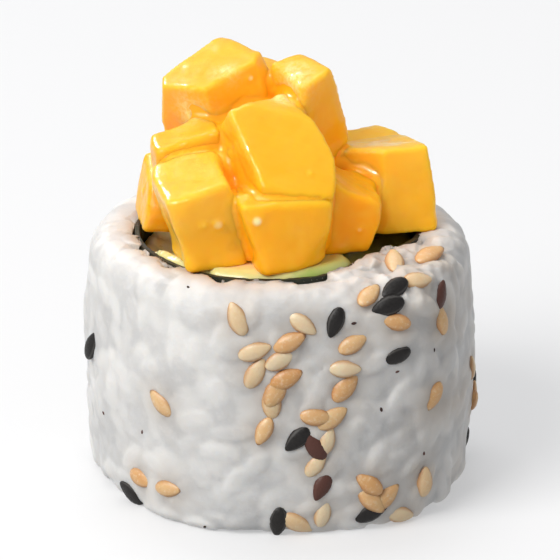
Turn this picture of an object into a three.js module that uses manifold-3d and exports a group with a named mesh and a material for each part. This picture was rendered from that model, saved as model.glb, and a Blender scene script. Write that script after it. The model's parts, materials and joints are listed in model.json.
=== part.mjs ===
// One piece of an inside-out sushi roll, standing on a cut face: a wall of rice with sesame seeds
// pressed into it, a wound sheet of seaweed, sticks of avocado inside, and a heap of mango dice on top.
// Millimetres, +Z up. The side that faces the viewer looks along -Y, and +X is to its right.
import * as THREE from "three";
import { RoundedBoxGeometry } from "three/addons/geometries/RoundedBoxGeometry.js";
import { mergeVertices } from "three/addons/utils/BufferGeometryUtils.js";
import Module from "manifold-3d";

// ---- Driving dimensions ----
const ROLL_RADIUS = 19.8; // of the rice, before its bulges
const ROLL_HEIGHT = 26.5; // between the two cut faces
const BARREL = 0.7; // how much fatter the rice is halfway up
const RIM_ROUND = 2.6; // rounding of the rice at the upper cut
const FOOT_ROUND = 1.4; // rounding of the rice at the lower cut
const NORI_RADIUS = 15.1; // outside of the seaweed, before its dents
const NORI_THICKNESS = 0.45;
const NORI_INSET = 0.1; // how far its edges lie inside the two cut faces
const NORI_LAP = 34; // degrees of seaweed that lie over its own start
const NORI_LAP_AT = 118; // where the lap ends, in degrees from +X
const FIT_GAP = 0.3; // between neighbouring pieces
const RING_STEPS = 48; // faces round the rice
const GRAIN_LENGTH = 6.4;
const GRAIN_WIDTH = 2.7;
const GRAIN_PROUD = 0.55; // how far a grain stands out of the rice
const WALL_GRAINS = 104;
const RIM_GRAINS = 34;
const SEED_LENGTH = 3.4;
const SEED_WIDTH = 1.9;
const SEED_THICKNESS = 1.0;
const SEED_SINK = 0.25; // how deep a seed's middle lies under the rice's surface
const MANGO_ROUND = 1.15; // rounding of a mango die's edges
const MANGO_UNEVEN = 0.07; // taper of a die, as a share of its side

// Places where an outline leaves the circle: direction in degrees from +X, rise in mm, spread in degrees.
const RICE_BULGES = [
  { at: -48, rise: 1.5, spread: 20 },
  { at: -110, rise: 0.6, spread: 18 },
  { at: -152, rise: -0.6, spread: 20 },
  { at: 58, rise: 0.7, spread: 26 },
  { at: 140, rise: 0.5, spread: 22 },
];
const NORI_BULGES = [
  { at: -42, rise: -2.4, spread: 24 },
  { at: -115, rise: 0.5, spread: 20 },
  { at: 95, rise: -0.6, spread: 30 },
];

const degrees = THREE.MathUtils.degToRad;
const wasm = await Module();
wasm.setup();

// ---- Helpers: solids, outlines and a repeatable random draw ----

// A closed geometry as a solid that can be joined and cut.
function solidOf(geometry) {
  const bare = geometry.clone();
  bare.deleteAttribute("normal");
  bare.deleteAttribute("uv");
  const merged = mergeVertices(bare, 1e-4);
  return new wasm.Manifold(
    new wasm.Mesh({
      numProp: 3,
      vertProperties: new Float32Array(merged.attributes.position.array),
      triVerts: new Uint32Array(merged.index.array),
    }),
  );
}

function geometryOf(solid) {
  const mesh = solid.getMesh();
  const geometry = new THREE.BufferGeometry();
  geometry.setAttribute("position", new THREE.BufferAttribute(mesh.vertProperties, 3));
  geometry.setIndex(new THREE.BufferAttribute(mesh.triVerts, 1));
  return geometry;
}

// The main body alone: scraps that a cut leaves are dropped, and hollows that a join seals are filled.
function mainBody(solid) {
  return solid.decompose().reduce((most, body) => (body.volume() > most.volume() ? body : most));
}

// The same numbers on every run, between 0 and 1.
function randomSource(seed) {
  let state = seed;
  return () => {
    state = (state + 0x6d2b79f5) | 0;
    let t = Math.imul(state ^ (state >>> 15), 1 | state);
    t = (t + Math.imul(t ^ (t >>> 7), 61 | t)) ^ t;
    return ((t ^ (t >>> 14)) >>> 0) / 4294967296;
  };
}

// How far an outline leaves its circle in one direction.
function rise(bulges, angle) {
  return bulges.reduce((sum, bulge) => {
    const off = Math.atan2(Math.sin(angle - degrees(bulge.at)), Math.cos(angle - degrees(bulge.at)));
    return sum + bulge.rise * Math.exp(-((off / degrees(bulge.spread)) ** 2));
  }, 0);
}

const noriRadius = (angle) => NORI_RADIUS + rise(NORI_BULGES, angle);
const barrel = (z) => BARREL * Math.sin((Math.PI * Math.max(0, z)) / ROLL_HEIGHT);
const riceRadius = (angle, z) => ROLL_RADIUS + rise(RICE_BULGES, angle) + barrel(z);

// A flat outline through radius(angle), as a three.js shape.
function ringShape(radius) {
  const points = [];
  for (let i = 0; i < RING_STEPS; i++) {
    const angle = (2 * Math.PI * i) / RING_STEPS;
    points.push(new THREE.Vector2(Math.cos(angle), Math.sin(angle)).multiplyScalar(radius(angle)));
  }
  return new THREE.Shape(points);
}

function upright(shape, bottom, top) {
  const geometry = new THREE.ExtrudeGeometry(shape, { depth: top - bottom, bevelEnabled: false });
  return geometry.translate(0, 0, bottom);
}

// ---- Rice: a thick ring round the seaweed, with rounded cut edges ----

// The ring's section, as [share of the way out from the bore, inset from the outside, height].
function riceSection() {
  const points = [];
  const arc = (centreInset, centreHeight, radius, from, to, steps) => {
    for (let i = 0; i <= steps; i++) {
      const turn = degrees(from + ((to - from) * i) / steps);
      points.push([1, centreInset - radius * Math.cos(turn), centreHeight + radius * Math.sin(turn)]);
    }
  };
  points.push([0, 0, 0]);
  arc(FOOT_ROUND, FOOT_ROUND, FOOT_ROUND, -90, 0, 2);
  points.push([1, 0, ROLL_HEIGHT * 0.28], [1, 0, ROLL_HEIGHT * 0.5], [1, 0, ROLL_HEIGHT * 0.72]);
  arc(RIM_ROUND, ROLL_HEIGHT - RIM_ROUND, RIM_ROUND, 0, 90, 4);
  points.push([0.2, 0, ROLL_HEIGHT], [0, 0, ROLL_HEIGHT - 0.6]);
  return points;
}

function riceCore() {
  const section = riceSection();
  const profile = section.map(([, , height], i) => new THREE.Vector2(10 + i, height));
  profile.push(profile[0].clone());
  const geometry = new THREE.LatheGeometry(profile, RING_STEPS);
  geometry.rotateX(Math.PI / 2);
  const position = geometry.attributes.position;
  const point = new THREE.Vector3();
  for (let i = 0; i < position.count; i++) {
    point.fromBufferAttribute(position, i);
    const angle = Math.atan2(point.y, point.x);
    const [share, inset, height] = section[Math.round(Math.hypot(point.x, point.y)) - 10];
    const bore = noriRadius(angle) + FIT_GAP;
    const outside = riceRadius(angle, height) - inset;
    const radius = share === 1 ? outside : bore + share * (outside - bore);
    position.setXYZ(i, radius * Math.cos(angle), radius * Math.sin(angle), height);
  }
  return solidOf(geometry);
}

// ---- Seaweed: one sheet wound once round the filling, its end lying inside its start ----
function noriShape() {
  const outer = [];
  const inner = [];
  const turn = 360 + NORI_LAP;
  const steps = 80;
  for (let i = 0; i <= steps; i++) {
    const swept = (turn * i) / steps;
    const angle = degrees(NORI_LAP_AT + swept);
    const tuck = THREE.MathUtils.smoothstep(swept, turn - 2 * NORI_LAP, turn - NORI_LAP);
    const radius = noriRadius(angle) - tuck * (NORI_THICKNESS + FIT_GAP);
    const direction = new THREE.Vector2(Math.cos(angle), Math.sin(angle));
    outer.push(direction.clone().multiplyScalar(radius));
    inner.push(direction.clone().multiplyScalar(radius - NORI_THICKNESS));
  }
  return new THREE.Shape([...outer, ...inner.reverse()]);
}

// ---- Avocado: sticks side by side that fill the seaweed, cut off at slightly different heights ----
const fillingRadius = (angle) => noriRadius(angle) - 2 * (NORI_THICKNESS + FIT_GAP);
const AVOCADO_STICKS = {
  avocado_front: { top: 26.2, cut: [[-7.2, -20], [5.6, -20], [6.6, -4.6], [-6.2, -5.4]] },
  avocado_left: { top: 23.6, cut: [[-20, -20], [-7.5, -20], [-6.5, -5.2], [-4.2, 20], [-20, 20]] },
  avocado_right: { top: 23.9, cut: [[5.9, -20], [20, -20], [20, 20], [5.2, 20], [6.9, -4.6]] },
  avocado_back: { top: 25.8, cut: [[-6.2, -5.1], [6.6, -4.3], [4.9, 20], [-3.9, 20]] },
};

function avocadoStick({ top, cut }) {
  const filling = solidOf(upright(ringShape(fillingRadius), 0, top));
  const corners = cut.map(([x, y]) => new THREE.Vector2(x, y));
  return filling.intersect(solidOf(upright(new THREE.Shape(corners), -1, top + 1)));
}

// ---- Mango: rounded dice and short sticks, as side lengths, centre and turn in degrees. The ones
// in front come first, and each later die gives way to those before it. ----
const MANGO_DICE = [
  { size: [6.4, 8.0, 9.6], at: [-8.0, -9.0, 31.1], tilt: 6, roll: -17, spin: 14 },
  { size: [8.6, 6.8, 7.4], at: [0.4, -10.3, 30.0], tilt: -4, roll: 8, spin: 20 },
  { size: [7.0, 7.0, 7.4], at: [5.7, -4.9, 29.8], tilt: 4, roll: 22, spin: 16 },
  { size: [11.4, 8.0, 8.6], at: [9.6, 1.9, 30.3], tilt: -13, roll: -2, spin: 22 },
  { size: [7.0, 6.0, 7.6], at: [-8.8, -4.0, 34.3], tilt: 10, roll: -14, spin: 16 },
  { size: [7.8, 10.8, 7.4], at: [-0.4, -5.4, 36.3], tilt: 45, roll: -14, spin: 38 },
  { size: [7.0, 5.6, 10.4], at: [2.2, 0.9, 38.7], tilt: 9, roll: -24, spin: 36 },
  { size: [9.7, 7.9, 8.8], at: [-5.6, 2.6, 39.5], tilt: -2, roll: -20, spin: 40 },
  { size: [7.4, 7.8, 9.6], at: [-10.0, 2.3, 31.2], tilt: -4, roll: 12, spin: 6 },
  { size: [5.0, 5.0, 7.0], at: [-4.4, -5.6, 30.4], tilt: 4, roll: -10, spin: 6 },
  { size: [9.5, 8.4, 9.0], at: [-5.4, 8.8, 31.0], tilt: -6, roll: 3, spin: -18 },
  { size: [6.4, 6.4, 6.4], at: [10.0, 9.4, 29.9], tilt: 4, roll: -5, spin: 38 },
  { size: [7.4, 7.6, 8.2], at: [3.0, 10.2, 30.6], tilt: 0, roll: 6, spin: 12 },
  { size: [9.0, 8.0, 7.4], at: [0.4, 8.0, 36.6], tilt: -4, roll: 6, spin: -30 },
  { size: [8.4, 8.4, 11.0], at: [-1.2, 1.6, 32.2], tilt: 0, roll: 0, spin: 8 },
];

function mangoDie({ size: [a, b, c], at, tilt, roll, spin }, index) {
  const draw = randomSource(40 + index);
  const taper = Array.from({ length: 6 }, () => MANGO_UNEVEN * (2 * draw() - 1));
  const geometry = new RoundedBoxGeometry(a, b, c, 1, MANGO_ROUND);
  const position = geometry.attributes.position;
  for (let i = 0; i < position.count; i++) {
    const u = (2 * position.getX(i)) / a;
    const v = (2 * position.getY(i)) / b;
    const w = (2 * position.getZ(i)) / c;
    position.setXYZ(
      i,
      position.getX(i) * (1 + taper[0] * v + taper[1] * w),
      position.getY(i) * (1 + taper[2] * u + taper[3] * w),
      position.getZ(i) * (1 + taper[4] * u + taper[5] * v),
    );
  }
  const turn = new THREE.Quaternion().setFromEuler(
    new THREE.Euler(degrees(tilt), degrees(roll), degrees(spin), "ZXY"),
  );
  geometry.applyQuaternion(turn).translate(...at);
  return { solid: solidOf(geometry), turn };
}

// The directions of a box's faces, edges and corners.
const BOX_SIDES = [-1, 0, 1]
  .flatMap((x) => [-1, 0, 1].flatMap((y) => [-1, 0, 1].map((z) => new THREE.Vector3(x, y, z))))
  .filter((side) => side.length() > 0)
  .map((side) => side.normalize());

// How far a solid reaches in one direction.
function reach(solid, direction) {
  const { vertProperties } = solid.getMesh();
  let most = -Infinity;
  for (let i = 0; i < vertProperties.length; i += 3) {
    most = Math.max(most, new THREE.Vector3().fromArray(vertProperties, i).dot(direction));
  }
  return most;
}

// Soft dice press flat against each other: a die is cut off along the plane beside an earlier one
// that leaves the most of it.
function pressedAgainst(solid, earlier) {
  return BOX_SIDES.map((side) => {
    const direction = side.clone().applyQuaternion(earlier.turn);
    return solid.trimByPlane(direction.toArray(), reach(earlier.solid, direction) + FIT_GAP);
  }).reduce((most, part) => (part.volume() > most.volume() ? part : most));
}

function mangoHeap() {
  const heap = MANGO_DICE.reduce((placed, entry, index) => {
    const { solid, turn } = mangoDie(entry, index);
    const standing = solid.trimByPlane([0, 0, 1], ROLL_HEIGHT + FIT_GAP);
    return [...placed, { solid: placed.reduce(pressedAgainst, standing), turn }];
  }, []);
  return heap.map((die) => die.solid);
}

// ---- Grains and seeds fused to the rice ----
const lowBall = new THREE.SphereGeometry(1, 5, 3);

function grainGeometry(draw) {
  const length = GRAIN_LENGTH * (0.85 + 0.3 * draw());
  const width = GRAIN_WIDTH * (0.85 + 0.3 * draw());
  return lowBall.clone().scale(width / 2, length / 2, width / 2);
}

// A flat drop, pointed at one end.
function seedGeometry(draw) {
  const length = SEED_LENGTH * (0.9 + 0.2 * draw());
  const geometry = lowBall.clone().scale(SEED_WIDTH / 2, length / 2, SEED_THICKNESS / 2);
  const position = geometry.attributes.position;
  for (let i = 0; i < position.count; i++) {
    const narrow = 1 - 0.35 * Math.max(0, (2 * position.getY(i)) / length);
    position.setX(i, position.getX(i) * narrow);
  }
  return geometry;
}

// A place on the rice with its outward direction: on the wall by angle and height.
function onWall(angle, height) {
  const step = 0.5;
  const slope = (riceRadius(angle, height + step) - riceRadius(angle, height - step)) / (2 * step);
  const radius = riceRadius(angle, height);
  return {
    point: new THREE.Vector3(radius * Math.cos(angle), radius * Math.sin(angle), height),
    outward: new THREE.Vector3(Math.cos(angle), Math.sin(angle), -slope).normalize(),
  };
}

// On the upper cut face by angle and share of the way from the seaweed to the rounded edge.
function onRim(angle, share) {
  const inner = noriRadius(angle) + FIT_GAP;
  const radius = inner + share * (riceRadius(angle, ROLL_HEIGHT) - inner);
  const over = Math.max(0, radius - (riceRadius(angle, ROLL_HEIGHT) - RIM_ROUND));
  const lean = Math.asin(Math.min(1, over / RIM_ROUND));
  return {
    point: new THREE.Vector3(
      radius * Math.cos(angle),
      radius * Math.sin(angle),
      ROLL_HEIGHT - RIM_ROUND * (1 - Math.cos(lean)),
    ),
    outward: new THREE.Vector3(
      Math.sin(lean) * Math.cos(angle),
      Math.sin(lean) * Math.sin(angle),
      Math.cos(lean),
    ),
  };
}

// Lays a geometry on the rice: its Z along outward, turned in the surface, sunk by a depth.
function laid(geometry, place, turn, sink) {
  const toOutward = new THREE.Quaternion().setFromUnitVectors(new THREE.Vector3(0, 0, 1), place.outward);
  const inSurface = new THREE.Quaternion().setFromAxisAngle(new THREE.Vector3(0, 0, 1), turn);
  const matrix = new THREE.Matrix4().compose(
    place.point.clone().addScaledVector(place.outward, -sink),
    toOutward.multiply(inSurface),
    new THREE.Vector3(1, 1, 1),
  );
  return solidOf(geometry.applyMatrix4(matrix));
}

const GOLDEN_ANGLE = Math.PI * (3 - Math.sqrt(5));

function grains() {
  const draw = randomSource(7);
  const list = [];
  const add = (place) => {
    const geometry = grainGeometry(draw);
    const sink = GRAIN_WIDTH / 2 - GRAIN_PROUD * (0.7 + 0.6 * draw());
    list.push(laid(geometry, place, Math.PI * draw(), sink));
  };
  for (let i = 0; i < WALL_GRAINS; i++) {
    const height = 1.6 + ((ROLL_HEIGHT - RIM_ROUND - 1.6) * (i + 0.5)) / WALL_GRAINS;
    add(onWall(i * GOLDEN_ANGLE + 0.12 * draw(), height));
  }
  for (let i = 0; i < RIM_GRAINS; i++) {
    add(onRim((2 * Math.PI * (i + 0.6 * draw())) / RIM_GRAINS, i % 2 ? 0.82 : 0.36));
  }
  return list;
}

// Seeds lie in loose drifts: centre in degrees and mm, spread in degrees and mm, and how many.
const SEED_DRIFTS = [
  { at: -78, height: 15, wide: 22, tall: 10, count: 13 },
  { at: -48, height: 8, wide: 20, tall: 7, count: 8 },
  { at: -35, height: 22, wide: 22, tall: 3.5, count: 7 },
  { at: -150, height: 10, wide: 26, tall: 9, count: 5 },
  { at: 20, height: 13, wide: 34, tall: 11, count: 8 },
  { at: 88, height: 14, wide: 36, tall: 11, count: 7 },
  { at: 160, height: 12, wide: 30, tall: 10, count: 6 },
];

function seeds() {
  const draw = randomSource(23);
  const list = [];
  for (const drift of SEED_DRIFTS) {
    for (let i = 0; i < drift.count; i++) {
      const angle = degrees(drift.at + drift.wide * (draw() + draw() - 1));
      const height = drift.height + drift.tall * (draw() + draw() - 1);
      const place = onWall(angle, THREE.MathUtils.clamp(height, 1.5, ROLL_HEIGHT - RIM_ROUND));
      list.push(laid(seedGeometry(draw), place, Math.PI * draw(), SEED_SINK - GRAIN_PROUD));
    }
  }
  return list;
}

// ---- Assembly ----
function riceWithGrains(heap) {
  const clearOfHeap = (solid) => heap.every((die) => solid.intersect(die).isEmpty());
  const bore = solidOf(upright(ringShape((angle) => noriRadius(angle) + FIT_GAP - 0.01), -5, 40));
  const below = solidOf(new THREE.BoxGeometry(80, 80, 10).translate(0, 0, -5));
  const fused = [...grains(), ...seeds()]
    .filter(clearOfHeap)
    .reduce((rice, piece) => rice.add(piece), riceCore());
  return mainBody(fused.subtract(bore).subtract(below));
}

function finish(color, roughness) {
  return new THREE.MeshStandardMaterial({ color, roughness, metalness: 0 });
}

const riceFinish = finish("#e6e2da", 0.5);
const noriFinish = finish("#1d2117", 0.6);
const avocadoFinish = finish("#cdcf6b", 0.4);
const mangoFinish = finish("#fdb92e", 0.25);

const roll = new THREE.Group();
const addPiece = (name, solid, material) => {
  const mesh = new THREE.Mesh(geometryOf(solid), material);
  mesh.name = name;
  roll.add(mesh);
};

const heap = mangoHeap();
addPiece("rice", riceWithGrains(heap), riceFinish);
addPiece("nori", solidOf(upright(noriShape(), NORI_INSET, ROLL_HEIGHT - NORI_INSET)), noriFinish);
for (const [name, stick] of Object.entries(AVOCADO_STICKS)) {
  addPiece(name, avocadoStick(stick), avocadoFinish);
}
heap.forEach((die, index) => addPiece(`mango_${String(index + 1).padStart(2, "0")}`, die, mangoFinish));

// The origin is the middle of the box's underside.
const box = new THREE.Box3().setFromObject(roll);
const middle = box.getCenter(new THREE.Vector3());
roll.position.set(-middle.x, -middle.y, -box.min.z);

export default roll;
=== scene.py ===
# One piece of an inside-out sushi roll: rice rolled in black and golden sesame, a sheet of seaweed
# inside it, avocado in the middle and diced ripe mango heaped on the cut face. The sections follow
# the piece from the outside in, and the heap comes last. Metres, degrees where a name says so.
import json
import math
import random

import bmesh
import bpy
import numpy as np
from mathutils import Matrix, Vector, noise
from mathutils.bvhtree import BVHTree
from mathutils.kdtree import KDTree

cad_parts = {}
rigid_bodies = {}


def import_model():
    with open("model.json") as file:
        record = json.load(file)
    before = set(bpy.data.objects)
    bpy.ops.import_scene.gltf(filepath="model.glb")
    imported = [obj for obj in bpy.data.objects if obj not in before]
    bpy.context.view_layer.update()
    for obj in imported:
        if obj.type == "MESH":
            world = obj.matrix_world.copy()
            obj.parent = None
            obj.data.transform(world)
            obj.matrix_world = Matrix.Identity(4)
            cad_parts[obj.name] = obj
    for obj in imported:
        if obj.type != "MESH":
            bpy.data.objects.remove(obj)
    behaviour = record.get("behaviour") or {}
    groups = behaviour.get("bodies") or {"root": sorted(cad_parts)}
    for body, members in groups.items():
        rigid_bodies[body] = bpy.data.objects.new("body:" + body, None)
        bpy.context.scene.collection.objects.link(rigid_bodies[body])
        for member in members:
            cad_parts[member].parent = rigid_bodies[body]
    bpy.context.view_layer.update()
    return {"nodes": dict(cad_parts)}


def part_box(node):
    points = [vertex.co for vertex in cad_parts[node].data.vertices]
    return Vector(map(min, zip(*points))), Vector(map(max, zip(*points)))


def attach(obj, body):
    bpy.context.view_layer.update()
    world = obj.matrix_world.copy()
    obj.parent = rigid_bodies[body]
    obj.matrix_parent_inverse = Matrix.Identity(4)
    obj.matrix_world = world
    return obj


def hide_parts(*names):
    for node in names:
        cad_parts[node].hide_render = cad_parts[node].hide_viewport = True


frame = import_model()
scene = bpy.context.scene
MM = 0.001


# ---- The photographed view. The piece stands on a pale floor under soft light from the upper left,
# and the camera looks down on it a little. Places read off the photograph go through photo_ray(). ----
CAMERA_ELEVATION = math.radians(20.5)
CAMERA_DISTANCE = 600 * MM
AIM = Vector((0, 0, 24 * MM))  # the point on the roll's axis that the distance is measured to
AIM_PIXEL = (242.0, 329.1)  # where that point lies in the photograph
PIXEL = 0.315 * MM  # real size of one pixel of the photograph at that point
VIEW_CENTRE = (242.0, 339.0)  # the picture's middle, in the photograph
VIEW_PIXELS = 186  # how many pixels of the photograph the picture is wide
SENSOR_MM = 36

RIGHT = Vector((1, 0, 0))
TO_CAMERA = Vector((0, -math.cos(CAMERA_ELEVATION), math.sin(CAMERA_ELEVATION)))
UP_IN_VIEW = Vector((0, math.sin(CAMERA_ELEVATION), math.cos(CAMERA_ELEVATION)))
camera_place = AIM + CAMERA_DISTANCE * TO_CAMERA


def photo_point(x, y):
    """The point at a pixel of the photograph, on the plane through AIM that faces the camera."""
    return AIM + PIXEL * ((x - AIM_PIXEL[0]) * RIGHT + (AIM_PIXEL[1] - y) * UP_IN_VIEW)


def photo_ray(x, y):
    """The camera's place and the direction in which it sees a pixel of the photograph."""
    return camera_place, (photo_point(x, y) - camera_place).normalized()


camera_data = bpy.data.cameras.new("camera")
camera_data.sensor_width = SENSOR_MM
camera_data.lens = SENSOR_MM * CAMERA_DISTANCE / (VIEW_PIXELS * PIXEL)
camera_data.clip_start = 10 * MM
camera = bpy.data.objects.new("camera", camera_data)
camera.location = camera_place
camera.rotation_euler = (photo_point(*VIEW_CENTRE) - camera_place).to_track_quat("-Z", "Y").to_euler()
scene.collection.objects.link(camera)
scene.camera = camera
scene.view_settings.view_transform = "Standard"


class Value:
    """A socket of a node tree. Arithmetic on it adds the tree's Math nodes."""

    def __init__(self, graph, socket):
        self.graph, self.socket = graph, socket

    def maths(self, operation, *terms):
        return self.graph.node("ShaderNodeMath", {"operation": operation}, dict(enumerate(terms)))["Value"]

    def __add__(self, other):
        return self.maths("ADD", self, other)

    def __sub__(self, other):
        return self.maths("SUBTRACT", self, other)

    def __rsub__(self, other):
        return self.maths("SUBTRACT", other, self)

    def __mul__(self, other):
        return self.maths("MULTIPLY", self, other)

    __radd__, __rmul__ = __add__, __mul__


class Graph:
    """A shader or geometry tree being laid out."""

    def __init__(self, tree):
        self.tree = tree
        tree.nodes.clear()

    def node(self, kind, settings=None, inputs=None):
        """Adds a node: its settings first, then the values or links of its sockets. Gives its outputs."""
        made = self.tree.nodes.new(kind)
        for name, setting in (settings or {}).items():
            if name == "stops":
                self.set_stops(made.color_ramp.elements, setting)
            else:
                setattr(made, name, setting)
        for name, given in (inputs or {}).items():
            if isinstance(name, int):
                socket = made.inputs[name]
            else:
                socket = next(s for s in made.inputs if s.enabled and s.name == name)
            for one in given if isinstance(given, list) else [given]:
                if isinstance(one, Value):
                    self.tree.links.new(one.socket, socket)
                else:
                    socket.default_value = one
        return {socket.name: Value(self, socket) for socket in made.outputs if socket.enabled}

    @staticmethod
    def set_stops(elements, stops):
        while len(elements) < len(stops):
            elements.new(1.0)
        for element, (place, colour) in zip(elements, stops):
            element.position, element.color = place, (*colour, 1)

    def mix(self, factor, a, b, blend="MIX"):
        inputs = {"Factor": factor, "A": rgba(a), "B": rgba(b)}
        return self.node("ShaderNodeMix", {"data_type": "RGBA", "blend_type": blend}, inputs)["Result"]

    def noise(self, vector, scale, detail=3.0, roughness=0.5, distortion=0.0):
        inputs = {"Vector": vector, "Scale": scale, "Detail": detail, "Roughness": roughness}
        return self.node("ShaderNodeTexNoise", None, {**inputs, "Distortion": distortion})["Fac"]

    def ramp(self, value, *stops):
        return self.node("ShaderNodeValToRGB", {"stops": stops}, {"Fac": value})["Color"]

    def spread(self, value, low, high, to_low=0.0, to_high=1.0):
        inputs = {"Value": value, "From Min": low, "From Max": high, "To Min": to_low, "To Max": to_high}
        return self.node("ShaderNodeMapRange", {"interpolation_type": "SMOOTHSTEP"}, inputs)["Result"]

    def attribute(self, name):
        return self.node("ShaderNodeAttribute", {"attribute_name": name})["Fac"]

    def place(self):
        return self.node("ShaderNodeTexCoord")["Object"]

    def stretched(self, scale, turn=(0, 0, 0)):
        inputs = {"Vector": self.place(), "Scale": scale, "Rotation": turn}
        return self.node("ShaderNodeMapping", None, inputs)["Vector"]

    def bump(self, height, strength, depth):
        inputs = {"Height": height, "Strength": strength, "Distance": depth}
        return self.node("ShaderNodeBump", None, inputs)["Normal"]

    def surface(self, **sockets):
        """The Principled shader, with its sockets' names written in words joined by underscores."""
        inputs = {name.replace("_", " "): value for name, value in sockets.items()}
        shader = self.node("ShaderNodeBsdfPrincipled", None, inputs)["BSDF"]
        self.node("ShaderNodeOutputMaterial", None, {"Surface": shader})


def rgba(colour):
    return (*colour, 1) if isinstance(colour, tuple) else colour


def new_finish(name):
    material = bpy.data.materials.new(name)
    material.use_nodes = True
    return material, Graph(material.node_tree)


def add_object(name, data):
    made = bpy.data.objects.new(name, data)
    scene.collection.objects.link(made)
    return made


FLOOR_REACH = 3.0
floor_mesh = bpy.data.meshes.new("floor")
floor_corners = [(x * FLOOR_REACH, y * FLOOR_REACH, 0) for x, y in ((-1, -1), (1, -1), (1, 1), (-1, 1))]
floor_mesh.from_pydata(floor_corners, [], [(0, 1, 2, 3)])
floor_finish, graph = new_finish("pale_floor")
graph.surface(
    Base_Color=(0.545, 0.545, 0.55, 1),
    Roughness=0.7,
    Specular_IOR_Level=0.1,
    Emission_Color=(1.0, 1.0, 1.0, 1),
    Emission_Strength=0.33,  # a lit table top: its shadows stay pale
)
floor_mesh.materials.append(floor_finish)
floor = add_object("floor", floor_mesh)
floor.visible_diffuse = False  # the world lights the piece from below instead, and more softly

world = bpy.data.worlds.new("studio")
world.use_nodes = True
graph = Graph(world.node_tree)
sky = graph.node("ShaderNodeBackground", None, {"Color": (0.95, 0.97, 1.0, 1), "Strength": 0.46})
graph.node("ShaderNodeOutputWorld", None, {"Surface": sky["Background"]})
scene.world = world


def soft_light(name, azimuth, elevation, distance, size, power, colour=(1, 1, 1), only_shine=False):
    """A square lamp that faces the piece, placed by its direction in degrees. One that only shines
    shows as gloss on wet faces and lights nothing else."""
    lamp = bpy.data.lights.new(name, "AREA")
    lamp.size, lamp.energy, lamp.color = size, power, colour
    made = add_object(name, lamp)
    turn, lift = math.radians(azimuth), math.radians(elevation)
    way = Vector((math.cos(lift) * math.cos(turn), math.cos(lift) * math.sin(turn), math.sin(lift)))
    made.location = AIM + distance * way
    made.rotation_euler = way.to_track_quat("Z", "Y").to_euler()
    made.visible_diffuse = not only_shine
    return made


soft_light("window", -140, 42, distance=1.0, size=0.60, power=8.6, colour=(1.0, 0.985, 0.96))
soft_light("overhead", 100, 68, distance=0.9, size=0.45, power=2.2)
soft_light("glint", -118, 42, distance=0.7, size=0.05, power=2.4, only_shine=True)
soft_light("edge_shine", 128, 36, distance=0.8, size=0.16, power=3.0, only_shine=True)


# ---- Rice. Short-grain rice, pressed by hand and mat into a wall round the seaweed: soft, damp and
# sticky, so the grains lie sunk in their own starch and only their backs show. They are laid over
# the wall and the cut face, fused with it, and pressed flatter where the mat has smoothed them. ----
ROLL_RADIUS = 19.8 * MM
ROLL_HEIGHT = 26.5 * MM
BARREL = 0.7 * MM  # how much fatter the roll is half way up
RIM_ROUND = 2.6 * MM
FOOT_ROUND = 1.4 * MM
NORI_RADIUS = 15.1 * MM
BORE_GAP = 0.3 * MM
# how far the outlines bulge: direction in degrees, height, and spread in degrees
RICE_BULGES = [
    (-48, 1.5 * MM, 20),
    (-110, 0.6 * MM, 18),
    (-152, -0.6 * MM, 20),
    (58, 0.7 * MM, 26),
    (140, 0.5 * MM, 22),
]
NORI_BULGES = [(-42, -2.4 * MM, 24), (-115, 0.5 * MM, 20), (95, -0.6 * MM, 30)]
LUMP = 0.28 * MM  # how far the wall itself waves in and out
LUMP_ACROSS = 6.5 * MM
CORE_STEPS = 144
FOOT_STEPS, WALL_STEPS, RIM_STEPS = 4, 16, 6
CORE_BELOW = 1.1 * MM  # the grains lie over a core this far inside the outline
GRAIN_LENGTH = 4.9 * MM
GRAIN_WIDTH = 2.4 * MM
GRAIN_SPACING = 1.6 * MM
GRAIN_TILT = math.radians(10)
GRAIN_LOW, GRAIN_HIGH = -0.45 * MM, 0.40 * MM  # how far a grain's back stands out of the outline
# the most that is left of that, above and below the outline, where the rice is pressed and where free
PRESSED_ABOVE, PRESSED_BELOW = 0.03 * MM, 0.07 * MM
FREE_ABOVE, FREE_BELOW = 0.50 * MM, 0.80 * MM
# direction and spread, in degrees, of the side where the grains lie loose and of the smoothest side
LOOSE_AT, LOOSE_SPREAD = -38, 36
SMOOTH_AT, SMOOTH_SPREAD = -135, 40
MELTED = 7  # how often the pressed grains' relief is evened out
RICE_SMOOTHINGS, TONES_EVENED, DEPTHS_EVENED = 4, 3, 2
RICE_OVER_NORI = 0.46 * MM  # how far the rice may lean over the seaweed's cut edge
TORN = 0.65 * MM  # how ragged the rim is where the knife tore it
GRAINY = 0.035 * MM
RICE_VOXEL = 0.27 * MM
RICE_TRIANGLES = 190000


def bell(off, spread):
    """1 where something is strongest, falling off smoothly on both sides."""
    return math.exp(-((off / spread) ** 2))


def clipped(share):
    return min(1, max(0, share))


def rise(bulges, angle):
    total = 0.0
    for at, height, spread in bulges:
        off = math.remainder(angle - math.radians(at), 2 * math.pi)
        total += height * bell(off, math.radians(spread))
    return total


def nori_radius(angle):
    return NORI_RADIUS + rise(NORI_BULGES, angle)


full_turn = [math.radians(step) for step in range(360)]
nori_low, nori_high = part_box("nori")
nori_bottom, nori_top = nori_low.z, nori_high.z
AXIS_X = nori_low.x - min(nori_radius(a) * math.cos(a) for a in full_turn)
AXIS_Y = nori_low.y - min(nori_radius(a) * math.sin(a) for a in full_turn)


def around(angle, radius, height):
    """A point by its direction from the roll's axis, its distance from it and its height."""
    return Vector((AXIS_X + radius * math.cos(angle), AXIS_Y + radius * math.sin(angle), height))


def from_axis(point):
    """A point's direction from the roll's axis, and its distance from it."""
    x, y = point.x - AXIS_X, point.y - AXIS_Y
    return math.atan2(y, x), math.hypot(x, y)


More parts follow.
